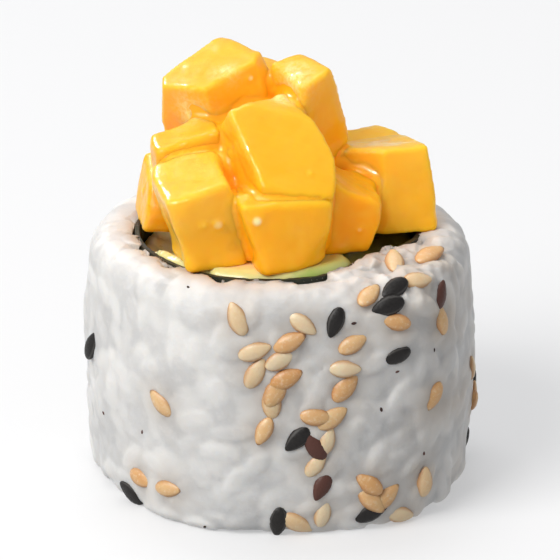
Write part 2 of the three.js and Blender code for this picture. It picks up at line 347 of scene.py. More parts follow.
def wave(point, across, seed=0.0):
    """Smooth noise between about -1 and 1, with waves of the size given."""
    return noise.noise(point / across + Vector((seed, seed, seed)))


def rice_radius(angle, height):
    fatter = BARREL * math.sin(math.pi * clipped(height / ROLL_HEIGHT))
    radius = ROLL_RADIUS + rise(RICE_BULGES, angle) + fatter
    return radius + LUMP * wave(around(angle, radius, height), LUMP_ACROSS)


def wall_section(angle, inset):
    """The wall's outline in one direction from the axis, drawn in by a distance on its outer side
    and on the upper cut face."""
    bore = nori_radius(angle) + BORE_GAP
    uneven = 0.5 + wave(around(angle, bore, ROLL_HEIGHT), 1.8 * MM, 9.0)
    lip = nori_radius(angle) - RICE_OVER_NORI * uneven
    top = ROLL_HEIGHT - inset

    def outside(height):
        return rice_radius(angle, height) - inset

    points = [(bore, 0), ((bore + outside(0) - FOOT_ROUND) / 2, 0)]
    for step in range(FOOT_STEPS + 1):
        turn = math.radians(-90 + 90 * step / FOOT_STEPS)
        points.append((outside(0) - FOOT_ROUND * (1 - math.cos(turn)), FOOT_ROUND * (1 + math.sin(turn))))
    for step in range(1, WALL_STEPS):
        height = FOOT_ROUND + (top - FOOT_ROUND - RIM_ROUND) * step / WALL_STEPS
        points.append((outside(height), height))
    for step in range(RIM_STEPS + 1):
        turn = math.radians(90 * step / RIM_STEPS)
        height = top - RIM_ROUND * (1 - math.sin(turn))
        points.append((outside(height) - RIM_ROUND * (1 - math.cos(turn)), height))
    edge = points[-1][0]
    points.append((bore + 0.6 * (edge - bore), top))
    points.append((bore + 0.25 * (edge - bore), top + 0.5 * inset))
    points.append((lip, ROLL_HEIGHT - 0.1 * MM))
    points.append((max(lip, nori_radius(angle)), nori_top + 0.04 * MM))
    points.append((bore, nori_top - 0.3 * MM))
    points.append((bore, ROLL_HEIGHT / 2))
    return [around(angle, radius, height) for radius, height in points]


def pressed(point):
    """How flat the grains lie at a place: 1 where the mat has smoothed them, 0 where they stand free.
    With it goes how ragged the rice is there, which is where the knife tore the rim."""
    degrees = math.degrees(from_axis(point)[0])
    height = point.z / ROLL_HEIGHT
    rim = clipped((height - 0.88) / 0.1)
    foot = clipped((0.16 - height) / 0.16)
    loose_side = bell(degrees - LOOSE_AT, LOOSE_SPREAD)
    smooth_side = bell(degrees - SMOOTH_AT, SMOOTH_SPREAD)
    patch = 0.5 + 0.5 * wave(point, 8 * MM, 3.0)
    loose = 0.17 * patch * (1 - 0.8 * smooth_side) + 0.20 * foot + (0.20 + 0.48 * rim) * loose_side
    return clipped(1.0 - loose), rim * loose_side


def mesh_of(shape, name):
    mesh = bpy.data.meshes.new(name)
    shape.to_mesh(mesh)
    shape.free()
    return mesh


def skinned(name, sections, round_again):
    """A closed mesh through equal outlines, each joined to the next. It either comes round to its
    first outline again or is capped at both ends."""
    shape = bmesh.new()
    rings = [[shape.verts.new(point) for point in section] for section in sections]
    for ring, following in zip(rings, rings[1:] + rings[:1] * round_again):
        for i, corner in enumerate(ring):
            nxt = (i + 1) % len(ring)
            shape.faces.new((corner, following[i], following[nxt], ring[nxt]))
    for ring in () if round_again else (rings[0], rings[-1]):
        last = len(ring) - 1
        for i in range(len(ring) // 2 - 1):
            shape.faces.new((ring[i], ring[i + 1], ring[last - i - 1], ring[last - i]))
    bmesh.ops.recalc_face_normals(shape, faces=shape.faces)
    return mesh_of(shape, name)


def tree_of(mesh):
    return BVHTree.FromPolygons([v.co for v in mesh.vertices], [tuple(p.vertices) for p in mesh.polygons])


core_angles = [2 * math.pi * step / CORE_STEPS for step in range(CORE_STEPS)]
outline_tree = tree_of(skinned("rice_outline", [wall_section(angle, 0) for angle in core_angles], True))
core_mesh = skinned("rice_core", [wall_section(angle, CORE_BELOW) for angle in core_angles], True)


def shows_grains(face):
    """Grains lie on the wall and the upper cut face, and not in the bore or underneath."""
    angle, away = from_axis(face.center)
    return away > nori_radius(angle) + 0.3 * MM and face.center.z > 0.6 * MM


grained = core_mesh.attributes.new("grained", "BOOLEAN", "FACE")
grained.data.foreach_set("value", [shows_grains(face) for face in core_mesh.polygons])


def geometry_tree(name, inputs):
    """A geometry tree with named inputs, given as (name, kind, value). Gives the tree, its graph, its
    inputs by name, and a function that ends it."""
    tree = bpy.data.node_groups.new(name, "GeometryNodeTree")
    tree.is_modifier = True
    tree.interface.new_socket("Geometry", in_out="INPUT", socket_type="NodeSocketGeometry")
    tree.interface.new_socket("Geometry", in_out="OUTPUT", socket_type="NodeSocketGeometry")
    for label, kind, _ in inputs:
        tree.interface.new_socket(label, in_out="INPUT", socket_type=f"NodeSocket{kind}")
    graph = Graph(tree)
    given = graph.node("NodeGroupInput")

    def end(geometry, material):
        whole = graph.node("GeometryNodeRealizeInstances", None, {"Geometry": geometry})["Geometry"]
        finished = graph.node("GeometryNodeSetMaterial", None, {"Geometry": whole, "Material": material})
        graph.node("NodeGroupOutput", None, {"Geometry": finished["Geometry"]})

    return tree, graph, given, end


def through_tree(source, tree, inputs, name):
    """Runs a mesh through a geometry tree and gives the result as a plain mesh."""
    carrier = add_object(name, source)
    modifier = carrier.modifiers.new("nodes", "NODES")
    modifier.node_group = tree
    sockets = {item.name: item.identifier for item in tree.interface.items_tree if item.in_out == "INPUT"}
    for label, _, value in inputs:
        modifier[sockets[label]] = value
    return evaluated(carrier, name)


def evaluated(carrier, name):
    """The object's mesh with its modifiers applied. The object itself is removed."""
    bpy.context.view_layer.update()
    seen = carrier.evaluated_get(bpy.context.evaluated_depsgraph_get())
    mesh = bpy.data.meshes.new_from_object(seen)
    mesh.name = name
    bpy.data.objects.remove(carrier)
    return mesh


rice_finish, graph = new_finish("cooked_rice")
place = graph.place()
tone = graph.attribute("grain_tone")
depth = graph.attribute("depth")
patches = graph.noise(place, 160.0, 3.0)
starch = graph.noise(place, 900.0, 4.0, 0.6)
# each grain's own random tone, and painted shade where the bare core shows between the grains: it has no
# tone and comes out darkest
grain_colour = graph.ramp(
    tone * 0.72 + patches * 0.45,
    (0.10, (0.525, 0.522, 0.518)),
    (0.50, (0.665, 0.655, 0.640)),
    (0.90, (0.810, 0.796, 0.770)),
)
cloudy = graph.mix(graph.spread(starch, 0.45, 0.75, 0.0, 0.35), grain_colour, (0.82, 0.81, 0.79))
stained = graph.mix(graph.attribute("stained"), cloudy, (0.52, 0.42, 0.32))  # stained by the toasted seeds' oil, and painted shade beside the seaweed and in patches on the right
# painted shade in the valleys: the deeper the skin lies below the outline, the greyer it is
shaded = graph.spread(graph.attribute("flat"), 0.7, 1.0, 0.42, 0.16)  # less painted shade between flat grains
with_painted_valley_shade = graph.mix(graph.spread(depth, -0.7, 0.1, 1.0, 0.0) * shaded, stained, (0.44, 0.437, 0.433))
fine = graph.noise(place, 2600.0, 3.0, 0.6)
curds = graph.noise(place, 1300.0, 2.0, 0.5)
graph.surface(
    Base_Color=with_painted_valley_shade,
    Roughness=graph.spread(starch, 0.3, 0.7, 0.38, 0.60),
    Specular_IOR_Level=0.35,
    Subsurface_Weight=0.55,
    Subsurface_Radius=(1.0, 0.85, 0.70),
    Subsurface_Scale=1.5 * MM,
    Normal=graph.bump(starch * 0.5 + fine * 0.2 + curds * 0.4, 0.45, 0.13 * MM),
)

grain_inputs = [
    ("Spacing", "Float", GRAIN_SPACING),
    ("Grain length", "Float", GRAIN_LENGTH),
    ("Grain width", "Float", GRAIN_WIDTH),
    ("Core below", "Float", CORE_BELOW),
    ("Lowest", "Float", GRAIN_LOW),
    ("Highest", "Float", GRAIN_HIGH),
    ("Tilt", "Float", GRAIN_TILT),
    ("Seed", "Int", 4),
    ("Finish", "Material", rice_finish),
]
tree, graph, given, end = geometry_tree("rice_grains", grain_inputs)


def drawn(low, high, seed_step, kind="FLOAT"):
    """A random number or vector for each point, by the tree's own seed."""
    inputs = {"Min": low, "Max": high, "Seed": given["Seed"] + seed_step}
    return graph.node("FunctionNodeRandomValue", {"data_type": kind}, inputs)["Value"]


def joined(x, y, z):
    return graph.node("ShaderNodeCombineXYZ", None, {"X": x, "Y": y, "Z": z})["Vector"]


def named(name, kind="FLOAT"):
    return graph.node("GeometryNodeInputNamedAttribute", {"data_type": kind}, {"Name": name})["Attribute"]


def laid_out(points, shape, rotation, scale, label, tone):
    """The shape laid at each point, turned and sized, with a tone stored under a name."""
    inputs = {"Points": points, "Instance": shape, "Rotation": rotation, "Scale": scale}
    laid = graph.node("GeometryNodeInstanceOnPoints", None, inputs)["Instances"]
    settings = {"data_type": "FLOAT", "domain": "INSTANCE"}
    stored = {"Geometry": laid, "Name": label, "Value": tone}
    return graph.node("GeometryNodeStoreNamedAttribute", settings, stored)["Geometry"]


scattered = graph.node(
    "GeometryNodeDistributePointsOnFaces",
    {"distribute_method": "POISSON"},
    {
        "Mesh": given["Geometry"],
        "Selection": named("grained", "BOOLEAN"),
        "Distance Min": given["Spacing"],
        "Density Max": 1.0e6,
        "Seed": given["Seed"],
    },
)
lift = given["Core below"] + drawn(given["Lowest"], given["Highest"], 1) - given["Grain width"] * 0.5
along = {"Vector": scattered["Normal"], "Scale": lift}
shift = graph.node("ShaderNodeVectorMath", {"operation": "SCALE"}, along)["Vector"]
moved = {"Geometry": scattered["Points"], "Offset": shift}
sunk = graph.node("GeometryNodeSetPosition", None, moved)["Geometry"]
least_turn, most_turn = joined(given["Tilt"] * -1.0, 0.0, 0.0), joined(given["Tilt"], 0.0, 2 * math.pi)
tilt_and_turn = {"Euler": drawn(least_turn, most_turn, 2, "FLOAT_VECTOR")}
turn = graph.node("FunctionNodeEulerToRotation", None, tilt_and_turn)["Rotation"]
both = {"Rotation": scattered["Rotation"], "Rotate By": turn}
turned = graph.node("FunctionNodeRotateRotation", {"rotation_space": "LOCAL"}, both)["Rotation"]
half_width, half_length = given["Grain width"] * 0.5, given["Grain length"] * 0.5
size = drawn(
    joined(half_width * 0.85, half_length * 0.8, half_width * 0.9),
    joined(half_width * 1.15, half_length * 1.15, half_width * 1.1),
    3,
    "FLOAT_VECTOR",
)
ball = graph.node("GeometryNodeMeshIcoSphere", None, {"Radius": 1.0, "Subdivisions": 3})["Mesh"]
# only the grains get a tone; the core between them keeps none, which paints shade into the valleys
grains = laid_out(sunk, ball, turned, size, "grain_tone", drawn(0.2, 1.0, 5))
together = graph.node("GeometryNodeJoinGeometry", None, {"Geometry": [given["Geometry"], grains]})
end(together["Geometry"], given["Finish"])
loose_mesh = through_tree(core_mesh, tree, grain_inputs, "rice_loose")


def melted(mesh, voxel, smoothings, name):
    """The outer skin of a mesh, rebuilt in even small faces and smoothed."""
    carrier = add_object(name, mesh)
    remesh = carrier.modifiers.new("remesh", "REMESH")
    remesh.mode, remesh.voxel_size = "VOXEL", voxel
    smooth = carrier.modifiers.new("smooth", "SMOOTH")
    smooth.factor, smooth.iterations = 0.5, smoothings
    return evaluated(carrier, name)


def thinned(mesh, most, name):
    """The mesh with fewer triangles where it is smoothest, which is in the bore and underneath."""
    carrier = add_object(name, mesh)
    triangles = sum(len(face.vertices) - 2 for face in mesh.polygons)
    carrier.modifiers.new("thin", "DECIMATE").ratio = most / triangles
    return evaluated(carrier, name)


def shade_smooth(mesh):
    mesh.polygons.foreach_set("use_smooth", [True] * len(mesh.polygons))


def settle(mesh, moved):
    """Moves each point of a mesh to where the function puts it, and shades it smooth."""
    mesh.vertices.foreach_set("co", [number for v in mesh.vertices for number in moved(v)])
    shade_smooth(mesh)
    mesh.update()


def store(mesh, name, numbers):
    mesh.attributes.new(name, "FLOAT", "POINT").data.foreach_set("value", numbers)


def evened(mesh, numbers, times):
    """One number for each point of a mesh, drawn towards its neighbours' a few times."""
    numbers = np.array(numbers)
    ends = np.zeros(2 * len(mesh.edges), dtype=int)
    mesh.edges.foreach_get("vertices", ends)
    first, second, count = ends[0::2], ends[1::2], len(numbers)
    neighbours = np.maximum(1, np.bincount(ends, minlength=count))
    for _ in range(times):
        sums = np.bincount(first, numbers[second], count) + np.bincount(second, numbers[first], count)
        numbers = (numbers + sums / neighbours) / 2
    return numbers.tolist()


def stand_for(mesh, name, material, slot, *nodes):
    """The finished piece: it rides with the roll, takes the finish given and replaces its solids. The slot
    it is given is not used.
    """
    mesh.materials.clear()
    mesh.materials.append(material)
    piece = add_object(name, mesh)
    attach(piece, "root")
    if nodes:
        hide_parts(*nodes)
    return piece


rice_mesh = melted(loose_mesh, RICE_VOXEL, RICE_SMOOTHINGS, "rice_body")
loose_tree = tree_of(loose_mesh)
loose_tone = np.zeros(len(loose_mesh.vertices))
loose_mesh.attributes["grain_tone"].data.foreach_get("value", loose_tone)
placed, tones, depths, flats, reliefs = [], [], [], [], []
for vertex in rice_mesh.vertices:
    place, outward, _, _ = outline_tree.find_nearest(vertex.co)
    proud = (vertex.co - place).dot(outward)
    flat, torn = pressed(place)
    above = flat * PRESSED_ABOVE + (1 - flat) * FREE_ABOVE
    below = flat * PRESSED_BELOW + (1 - flat) * FREE_BELOW
    most = above if proud > 0 else below
    _, _, face, _ = loose_tree.find_nearest(vertex.co)
    placed.append((place, outward, torn))
    tones.append(loose_tone[loose_mesh.polygons[face].vertices[0]])
    depths.append(proud / MM)
    flats.append(flat)
    reliefs.append(math.copysign(most * (1 - math.exp(-abs(proud) / most)), proud))
melted_reliefs = evened(rice_mesh, reliefs, MELTED)


def pressed_down(vertex):
    """Presses the grains towards the outline, melted together where they lie flat, and keeps them out
    of the seaweed and the floor."""
    place, outward, torn = placed[vertex.index]
    flat = flats[vertex.index]
    relief = flat * melted_reliefs[vertex.index] + (1 - flat) * reliefs[vertex.index]
    ragged = torn * TORN * (0.45 - abs(wave(place, 1.7 * MM, 7.0)) + 0.4 * wave(place, 1.0 * MM))
    grainy = GRAINY * wave(place, 0.8 * MM, 4.0)
    point = place + (relief + ragged + grainy) * outward
    angle, away = from_axis(point)
    if point.z < nori_top + 0.03 * MM:
        away = max(away, nori_radius(angle) + 0.06 * MM)
    return around(angle, away, max(0, point.z))


settle(rice_mesh, pressed_down)
store(rice_mesh, "grain_tone", evened(rice_mesh, tones, TONES_EVENED))
store(rice_mesh, "depth", evened(rice_mesh, depths, DEPTHS_EVENED))
store(rice_mesh, "flat", flats)
rice_mesh = thinned(rice_mesh, RICE_TRIANGLES, "rice_thinned")
shade_smooth(rice_mesh)
stand_for(rice_mesh, "rice_wall", rice_finish, "rice", "rice")
rice_tree = tree_of(rice_mesh)


# ---- Sesame. Flat drop-shaped seeds, some black and some toasted golden, that stuck to the rice when
# the roll was turned in them. They lie in drifts, pressed a little into the rice. Those on the side
# that the photograph shows lie where it shows them, as pixel places and a turn in degrees. ----
SEED_LENGTH = 3.6 * MM
SEED_WIDTH = 2.05 * MM
SEED_THICKNESS = 1.0 * MM
SEED_PROUD = -0.03 * MM  # how far a seed's middle stands out of the rice
SEED_TIPPED = 0.16  # how far one side of a seed may stand higher than the other
SEED_TURNED = 0.28  # how far the seeds near the edge of the view are turned towards it
MOST_STRETCHED = 1.6  # past this, the turn that a pixel direction gives on the slanting rice isn't used
SEED_RINGS = 9
SEED_SIDES = 12
BLACK_IN_VIEW = [
    (260.5, 353.3, -110), (280.2, 341.4, 214), (278.0, 347.6, 200), (280.8, 364.4, 202), (248.1, 391.9, 220),
    (241.4, 419.6, 262), (192.2, 409.8, 130), (179.6, 360.7, 84), (272.6, 416.4, 25),
]
BROWN_IN_VIEW = [(256.0, 407.5, 240), (253.6, 394.6, 130), (296.2, 344.0, 80)]
PALE_IN_VIEW = [
    (249.7, 353.9, -35), (242.3, 365.7, 25), (239.1, 379.7, 95), (263.7, 368.6, 0), (233.6, 362.8, 18),
    (233.9, 370.1, 60), (280.0, 333.2, 92), (287.9, 338.9, 4), (247.8, 419.9, -25), (256.4, 416.7, 72),
    (282.5, 417.4, -5), (257.6, 392.8, 70), (227.8, 352.0, 112), (289.8, 405.9, 85), (253.8, 400.8, 50),
]
GOLD_IN_VIEW = [
    (245.2, 359.7, 25), (244.2, 371.8, 25), (236.6, 389.3, 245), (264.0, 374.6, 50), (254.1, 384.5, -5),
    (259.6, 384.8, 35), (271.7, 406.9, 145), (272.6, 412.3, -45), (277.7, 411.3, 45), (293.4, 377.8, 245),
    (271.7, 343.7, 48), (280.6, 353.0, 172), (291.8, 330.6, 20), (202.3, 380.0, 125), (195.7, 404.9, 0),
    (204.8, 408.4, -8), (296.0, 352.0, 95), (240.8, 375.6, 60), (266.4, 360.2, 30),
]
# crumbs of broken seeds, as pixel places
CRUMBS_IN_VIEW = [
    (183.2, 383.4), (196.0, 389.5), (211.4, 341.2), (217.2, 420.6), (275.6, 382.0), (281.2, 369.6),
    (266.6, 353.4), (293.4, 362.4), (290.0, 396.6),
]
CRUMB_SIZE = 0.15  # of a whole seed
# drifts on the sides that the photograph doesn't show: direction in degrees, height in millimetres,
# how wide and how tall they are in the same units, and how many seeds they hold
DRIFTS = [
    (14, 13.0, 30, 9.5, 15),
    (58, 9.0, 22, 7.0, 9),
    (96, 15.0, 30, 8.0, 13),
    (141, 12.0, 24, 9.0, 12),
    (158, 14.0, 8, 9.0, 5),
]
BLACK_SHARE = 0.32
# how strongly the seeds' oil stains the rice and how far it spreads; how strong the painted shade beside the
# seaweed is, all round and more on the left, and how far it reaches; and where painted shade gathers in
# patches on the right
SEED_STAIN, SEED_STAIN_REACH = 0.55, 2.3 * MM
NORI_PAINTED_SHADE, NORI_PAINTED_SHADE_LEFT, NORI_PAINTED_SHADE_REACH = 0.25, 0.55, 1.1 * MM
PAINTED_SHADE_AT, PAINTED_SHADE_SPREAD = -28, 28


def seed_shape():
    """A flat drop along Y, pointed at its upper end, with a thin rounded edge."""
    shape = bmesh.new()
    rings, rims = [], []
    for ring in range(1, SEED_RINGS):
        along = -math.cos(math.pi * ring / SEED_RINGS)
        girth = math.sqrt(1 - along * along) * (1 - 0.34 * max(0, along + 0.1) ** 1.3)
        circle = []
        for side in range(SEED_SIDES):
            turn = 2 * math.pi * side / SEED_SIDES
            rims.append(abs(math.cos(turn)))
            x = math.copysign(abs(math.cos(turn)) ** 0.85, math.cos(turn)) * SEED_WIDTH / 2 * girth
            z = math.copysign(abs(math.sin(turn)) ** 1.15, math.sin(turn)) * SEED_THICKNESS / 2 * girth
            circle.append(shape.verts.new((x, along * SEED_LENGTH / 2, z)))
        rings.append(circle)
    for lower, upper in zip(rings, rings[1:]):
        for i in range(SEED_SIDES):
            j = (i + 1) % SEED_SIDES
            shape.faces.new((lower[i], lower[j], upper[j], upper[i]))
    for circle, end_y in ((rings[0], -1), (rings[-1], 1)):
        tip = shape.verts.new((0, end_y * SEED_LENGTH / 2, 0))
        for i in range(SEED_SIDES):
            shape.faces.new((circle[i], circle[(i + 1) % SEED_SIDES], tip))
    bmesh.ops.recalc_face_normals(shape, faces=shape.faces)
    mesh = mesh_of(shape, "seed")
    shade_smooth(mesh)
    store(mesh, "lengthwise", [2 * v.co.y / SEED_LENGTH for v in mesh.vertices])
    store(mesh, "rim", rims + [1, 1])
    return mesh


def tipped(outward):
    """A direction out of the rice, leaning a little to some side."""
    lean = Vector((draw.uniform(-1, 1), draw.uniform(-1, 1), draw.uniform(-1, 1)))
    return (outward + SEED_TIPPED * lean).normalized()


def on_rice(hit, outward, size=1.0):
    """Where the middle of a seed lies on the grains, over a place on the rice's outline."""
    surface, _, _, _ = rice_tree.ray_cast(hit + 3 * MM * outward, -outward)
    return (surface or hit) + SEED_PROUD * size * outward


def seen_seed(x, y, degrees, tone, size=1.0):
    """A seed at a pixel of the photograph: its place, which ways it faces and lies, tone and size."""
    start, direction = photo_ray(x, y)
    turn = math.radians(degrees)
    shown = math.cos(turn) * RIGHT + math.sin(turn) * UP_IN_VIEW
    hit, outward, _, _ = outline_tree.ray_cast(start, direction)
    lying = shown - direction * (shown.dot(outward) / direction.dot(outward))
    if lying.length > MOST_STRETCHED:
        lying = shown - outward * shown.dot(outward)
    faced = tipped(outward + SEED_TURNED * TO_CAMERA)
    return on_rice(hit, outward, size), faced, lying.normalized(), tone, size


draw = random.Random(11)
black_seeds = [seen_seed(x, y, turn, draw.uniform(0, 0.3)) for x, y, turn in BLACK_IN_VIEW]
black_seeds += [seen_seed(x, y, turn, draw.uniform(0.85, 1.0)) for x, y, turn in BROWN_IN_VIEW]
black_seeds += [seen_seed(x, y, 50 * x, draw.uniform(0.5, 1.0), CRUMB_SIZE) for x, y in CRUMBS_IN_VIEW]
golden_seeds = [seen_seed(x, y, turn, draw.uniform(0.0, 0.35)) for x, y, turn in PALE_IN_VIEW]
golden_seeds += [seen_seed(x, y, turn, draw.uniform(0.5, 1.0)) for x, y, turn in GOLD_IN_VIEW]
for at, height, wide, tall, count in DRIFTS:
    for _ in range(count):
        angle = math.radians(draw.gauss(at, wide / 2))
        level = min(ROLL_HEIGHT - RIM_ROUND, max(1.2 * MM, draw.gauss(height, tall / 2) * MM))
        inwards = around(angle, 0, level) - around(angle, 1, level)
        hit, outward, _, _ = outline_tree.ray_cast(around(angle, 2 * ROLL_RADIUS, level), inwards)
        across = outward.cross(Vector((0, 0, 1))).normalized()
        spin = draw.uniform(0, 2 * math.pi)
        lying = math.cos(spin) * across + math.sin(spin) * outward.cross(across)
        seed = (on_rice(hit, outward), tipped(outward), lying)
        if draw.random() < BLACK_SHARE:
            black_seeds.append((*seed, draw.uniform(0, 0.3), 1.0))
        else:
            golden_seeds.append((*seed, draw.random(), 1.0))


def nearest_among(places):
    """A search tree for the nearest of some places."""
    found = KDTree(len(places))
    for number, place in enumerate(places):
        found.insert(place, number)
    found.balance()
    return found


oily = nearest_among([seed[0] for seed in golden_seeds])


def stain_and_painted_shade(point):
    """How brown the rice is: stained beside toasted seeds, and painted shade at the seaweed, most on the
    left, and in patches on the right."""
    angle, away = from_axis(point)
    left = 0.5 - 0.5 * math.cos(angle + math.radians(10))
    # painted shade beside the seaweed, strongest on the left
    painted_shade_beside_nori = (NORI_PAINTED_SHADE + NORI_PAINTED_SHADE_LEFT * left) * bell(away - nori_radius(angle), NORI_PAINTED_SHADE_REACH)
    beside_seed = SEED_STAIN * bell(oily.find(point)[2], SEED_STAIN_REACH)
    # painted shade in patches on the right
    right = bell(math.degrees(angle) - PAINTED_SHADE_AT, PAINTED_SHADE_SPREAD)
    patches = right * max(0, 0.30 + 0.34 * wave(point, 4.5 * MM, 6.0))
    return min(1, max(beside_seed, painted_shade_beside_nori) + patches)


store(rice_mesh, "stained", [stain_and_painted_shade(v.co) for v in rice_mesh.vertices])

seed_inputs = [
    ("Seed shape", "Object", None),
    ("Least size", "Float", 0.88),
    ("Most size", "Float", 1.1),
    ("Seed", "Int", 2),
    ("Finish", "Material", None),
]
tree, graph, given, end = geometry_tree("sesame", seed_inputs)
align = "FunctionNodeAlignRotationToVector"
facing, pointing = named("outward", "FLOAT_VECTOR"), named("lying", "FLOAT_VECTOR")
upright = graph.node(align, {"axis": "Z"}, {"Vector": facing})["Rotation"]
upright_and_pointing = {"Rotation": upright, "Vector": pointing}
pointed = graph.node(align, {"axis": "Y", "pivot_axis": "Z"}, upright_and_pointing)["Rotation"]
shape = graph.node("GeometryNodeObjectInfo", None, {"Object": given["Seed shape"]})["Geometry"]
points = graph.node("GeometryNodeMeshToPoints", None, {"Mesh": given["Geometry"]})["Points"]
drawn_size = drawn(given["Least size"], given["Most size"], 0)
seeds = laid_out(points, shape, pointed, drawn_size * named("size"), "tone", named("tone"))
end(seeds, given["Finish"])
seed_object = add_object("seed_shape", seed_shape())


def seed_piece(name, seeds, material):
    """All the seeds of one colour as one piece."""
    places = bpy.data.meshes.new(name)
    places.from_pydata([seed[0] for seed in seeds], [], [])
    for column, label in ((1, "outward"), (2, "lying")):
        numbers = [number for seed in seeds for number in seed[column]]
        places.attributes.new(label, "FLOAT_VECTOR", "POINT").data.foreach_set("vector", numbers)
    store(places, "tone", [seed[3] for seed in seeds])
    store(places, "size", [seed[4] for seed in seeds])
    values = {"Seed shape": seed_object, "Finish": material}
    inputs = [(label, kind, values.get(label, value)) for label, kind, value in seed_inputs]
    mesh = through_tree(places, tree, inputs, name)
    return stand_for(mesh, name, material, "rice", "rice")


black_finish, graph = new_finish("black_sesame")
place = graph.place()
tone = graph.attribute("tone")
skin = graph.noise(place, 3800.0, 3.0, 0.65)
rim = graph.attribute("rim")
black = graph.mix(skin, (0.009, 0.008, 0.008), (0.026, 0.023, 0.021))
line = graph.spread(rim, 0.55, 0.75) * graph.spread(rim, 0.75, 0.95, 1.0, 0.0)  # round the seed's edge
lined = graph.mix(line * 0.6, black, (0.085, 0.080, 0.075))
graph.surface(
    Base_Color=graph.mix(graph.spread(tone, 0.4, 0.8), lined, (0.100, 0.040, 0.030)),
    Roughness=graph.spread(skin, 0.3, 0.7, 0.34, 0.55),
    Specular_IOR_Level=0.22,
    Normal=graph.bump(skin, 0.8, 0.07 * MM),
)

golden_finish, graph = new_finish("golden_sesame")
place = graph.place()
tone = graph.attribute("tone")
lengthwise = graph.attribute("lengthwise")
skin = graph.noise(place, 3000.0, 3.0, 0.6)
toasted = graph.ramp(
    tone * 0.8 + skin * 0.2 + graph.noise(place, 900.0, 2.0) * 0.4 - 0.20,
    (0.0, (0.820, 0.680, 0.460)),
    (0.5, (0.760, 0.490, 0.235)),
    (1.0, (0.640, 0.300, 0.090)),
)
flecked = graph.mix(graph.spread(skin, 0.46, 0.76, 0.0, 0.5), toasted, (0.85, 0.70, 0.49))
# a darker rim, partly browned in toasting and partly painted shade where the seed meets the rice
rim = graph.spread(graph.attribute("rim"), 0.45, 1.0, 0.0, 0.72)
browned_and_shaded_rim = graph.mix(rim, flecked, (0.46, 0.20, 0.070))
tip = graph.spread(lengthwise, 0.78, 0.98) * graph.spread(tone, 0.25, 0.55)
graph.surface(
    Base_Color=graph.mix(tip * 0.85, browned_and_shaded_rim, (0.16, 0.055, 0.020)),
    Roughness=0.42,
    Subsurface_Weight=0.25,
    Subsurface_Radius=(1.0, 0.6, 0.3),
    Subsurface_Scale=0.5 * MM,
    Normal=graph.bump(skin, 0.6, 0.07 * MM),
)
seed_piece("sesame_black", black_seeds, black_finish)
seed_piece("sesame_golden", golden_seeds, golden_finish)
bpy.data.objects.remove(seed_object)


# ---- Seaweed. One toasted sheet of nori wound once round the filling, its end tucked in under its
# start. Damp from the rice, it is nearly black, and its cut edge is a thin ragged line. ----
NORI_THICKNESS = 0.45 * MM
NORI_LAP = math.radians(34)
NORI_LAP_AT = math.radians(118)
NORI_WOUND = 2 * math.pi + NORI_LAP
NORI_STEPS = 300
NORI_ROWS = 16
NORI_RAGGED = 0.16 * MM
NORI_CRINKLE = 0.05 * MM


def eased(share):
    share = clipped(share)
    return share * share * (3 - 2 * share)


def nori_section(swept):
    """The sheet's outline where it has wound through an angle: up its outside and down its inside."""
    angle = NORI_LAP_AT + swept
    tuck = eased((swept - NORI_WOUND + 2 * NORI_LAP) / NORI_LAP)
    radius = nori_radius(angle) - tuck * (NORI_THICKNESS + BORE_GAP)
    section = []
    for inset, rows in ((0, range(NORI_ROWS + 1)), (NORI_THICKNESS, range(NORI_ROWS, -1, -1))):
        for row in rows:
            height = nori_bottom + (nori_top - nori_bottom) * row / NORI_ROWS
            point = around(angle, radius - inset, height)
            ragged = -NORI_RAGGED * abs(wave(point, 1.1 * MM)) * (row == NORI_ROWS)
            shifted = radius - inset - NORI_CRINKLE * (0.5 + wave(point, 2.0 * MM, 5.0))
            section.append(around(angle, shifted, height + ragged))
    return section


nori_finish, graph = new_finish("seaweed")
place = graph.place()
weave = graph.noise(place, 700.0, 5.0, 0.65)
fibre = graph.noise(graph.stretched((900, 900, 260)), 1.0, 3.0)
graph.surface(
    Base_Color=graph.ramp(
        weave * 0.6 + fibre * 0.4,
        (0.3, (0.010, 0.013, 0.008)),
        (0.6, (0.022, 0.028, 0.015)),
        (0.8, (0.045, 0.050, 0.024)),
    ),
    Roughness=graph.spread(weave, 0.3, 0.7, 0.35, 0.6),
    Normal=graph.bump(fibre * 0.5 + weave * 0.5, 0.6, 0.1 * MM),
)
nori_sections = [nori_section(NORI_WOUND * step / NORI_STEPS) for step in range(NORI_STEPS + 1)]
nori_mesh = skinned("nori_sheet", nori_sections, False)
stand_for(nori_mesh, "nori_sheet", nori_finish, "nori", "nori")


# ---- Avocado. Ripe sticks laid side by side through the roll and sliced with it: butter yellow at
# the middle and greener towards the skin side, smooth where the knife went through. ----
AVOCADO_VOXEL = 0.4 * MM
avocado_finish, graph = new_finish("avocado_flesh")
place = graph.place()
parts = graph.node("ShaderNodeSeparateXYZ", None, {"Vector": place})
off_x, off_y = parts["X"] - AXIS_X, parts["Y"] - AXIS_Y
squared = off_x * off_x + off_y * off_y
away = squared.maths("SQRT", squared)
mottle = graph.noise(place, 420.0, 4.0, 0.6)
smear = graph.noise(graph.stretched((160, 420, 160), (0, 0, 0.5)), 1.0, 3.0)
side = graph.spread(parts["X"] + mottle * 2 * MM, 0.6 * MM, 4.2 * MM)
greener = graph.spread(away + mottle * 1.6 * MM, 13.8 * MM, 15.4 * MM) * 0.35 + side * 0.65
flesh = graph.mix(smear, (0.930, 0.780, 0.280), (0.960, 0.850, 0.470))
